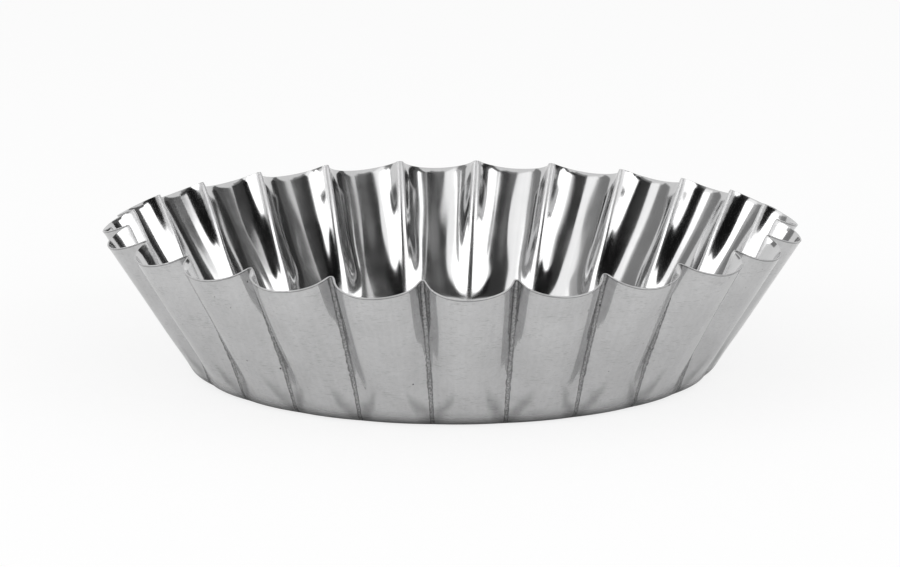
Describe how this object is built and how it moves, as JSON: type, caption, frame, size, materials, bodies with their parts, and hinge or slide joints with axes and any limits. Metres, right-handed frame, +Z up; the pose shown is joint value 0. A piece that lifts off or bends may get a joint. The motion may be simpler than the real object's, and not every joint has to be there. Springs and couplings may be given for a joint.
{
  "type": "brioche mould",
  "caption": "Shallow round baking mould pressed from one tinplate sheet, with flared fluted walls, a small flat base and a plain wavy cut rim.",
  "frame": {"origin": "centre of the underside of the base, on the plane that the mould stands on", "axes": "+Z up along the mould's axis, towards the open mouth; one flute is centred on +X"},
  "size_m": [0.1, 0.1, 0.0218],
  "materials": {
    "tinplate": "bright tin inside, satin drawn tinplate outside"
  },
  "bodies": {
    "root": {"mould_shell": "tinplate"}
  },
  "joints": []
}
